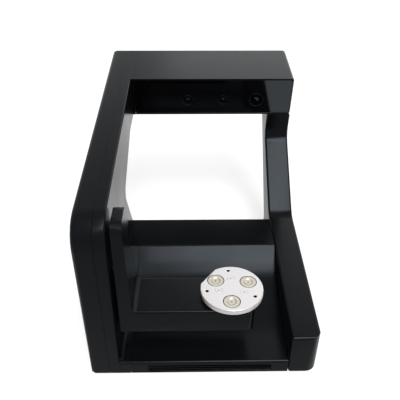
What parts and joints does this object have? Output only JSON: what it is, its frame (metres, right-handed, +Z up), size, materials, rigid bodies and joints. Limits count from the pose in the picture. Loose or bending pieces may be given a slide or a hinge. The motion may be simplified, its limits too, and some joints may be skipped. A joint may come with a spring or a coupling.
{
  "type": "desktop 3d scanner",
  "caption": "Open-frame desktop 3D scanner with a rear scanning head and a tilting swing arm that carries a motor-driven magnetic turntable.",
  "frame": {"origin": "middle of the bounding box's base, on the table under the feet", "axes": "+Z up, +Y from the front lip towards the scanning head, +X across from the tall housing towards the low rail"},
  "size_m": [0.2734, 0.418, 0.2621],
  "materials": {
    "black_plastic": "satin black moulded plastic, fine texture",
    "dark_plastic": "darker black plastic",
    "gloss_panel": "high gloss black panel",
    "lens_glass": "coated lens glass",
    "black_anodised": "black anodised",
    "bare_aluminium": "milled",
    "silver_plate": "fine silver anodised",
    "steel": "bare steel",
    "magnet_nickel": "warm nickel plating",
    "foot_rubber": "matt",
    "board": "green laminate"
  },
  "bodies": {
    "frame": {"housing_outer_cover": "black_plastic", "housing_inner_cover": "black_plastic", "base_tray": "black_plastic", "base_plate": "steel", "vent_grille": "dark_plastic", "rail_cover": "black_plastic", "rail_side_panel": "black_plastic", "head_cover": "black_plastic", "head_floor": "black_plastic", "lens_panel": "gloss_panel", "lens_ring_left": "black_anodised", "lens_ring_middle": "black_anodised", "lens_ring_right": "black_anodised", "lens_window_left": "lens_glass", "lens_window_middle": "lens_glass", "lens_window_right": "lens_glass", "optical_bench": "bare_aluminium", "camera_left_body": "black_anodised", "camera_left_lens": "black_anodised", "projector_body": "black_anodised", "projector_lens": "black_anodised", "camera_right_body": "black_anodised", "camera_right_lens": "black_anodised", "pivot_housing": "bare_aluminium", "pivot_bearing": "steel", "tilt_motor": "steel", "connector_plate": "dark_plastic", "power_inlet": "dark_plastic", "data_port": "steel", "switch_frame": "dark_plastic", "main_board": "board", "power_supply": "bare_aluminium", "foot_1": "foot_rubber", "foot_2": "foot_rubber", "foot_3": "foot_rubber", "foot_4": "foot_rubber"},
    "arm": {"arm_shell": "black_plastic", "arm_bottom_cover": "black_plastic", "arm_side_plate": "bare_aluminium", "pivot_shaft": "steel", "tilt_wheel": "steel", "spin_motor": "steel", "spindle_bearing": "steel"},
    "turntable": {"spindle": "steel", "spin_wheel": "steel", "turntable_disc": "silver_plate", "magnet_1": "magnet_nickel", "magnet_2": "magnet_nickel", "magnet_3": "magnet_nickel", "disc_screw_1": "steel", "disc_screw_2": "steel", "disc_screw_3": "steel"},
    "tilt_pinion": {"tilt_pinion": "steel"},
    "spin_pinion": {"spin_pinion": "steel"},
    "power_rocker": {"power_rocker": "dark_plastic"}
  },
  "joints": [
    {"name": "arm_tilt", "type": "hinge", "parent": "frame", "child": "arm", "pos_m": [-0.09725, -0.167, 0.13201], "axis": [1, 0, 0], "range_deg": [-100, 45]},
    {"name": "turntable_spin", "type": "hinge", "parent": "arm", "child": "turntable", "pos_m": [0.03265, -0.167, 0.0952], "axis": [0, 0, 1], "continuous": true},
    {"name": "tilt_pinion_turn", "type": "hinge", "parent": "frame", "child": "tilt_pinion", "pos_m": [-0.12675, -0.128, 0.13201], "axis": [1, 0, 0], "range_deg": [-151, 334]},
    {"name": "spin_pinion_turn", "type": "hinge", "parent": "arm", "child": "spin_pinion", "pos_m": [0.00265, -0.167, 0.0637], "axis": [0, 0, 1], "continuous": true},
    {"name": "power_switch", "type": "hinge", "parent": "frame", "child": "power_rocker", "pos_m": [0.00425, 0.07259, 0.01175], "axis": [0, 0, 1], "range_deg": [0, 20]}
  ],
  "couplings": [
    {"joint": "tilt_pinion_turn", "follows": "arm_tilt", "ratio": -3.3333},
    {"joint": "spin_pinion_turn", "follows": "turntable_spin", "ratio": -2}
  ]
}
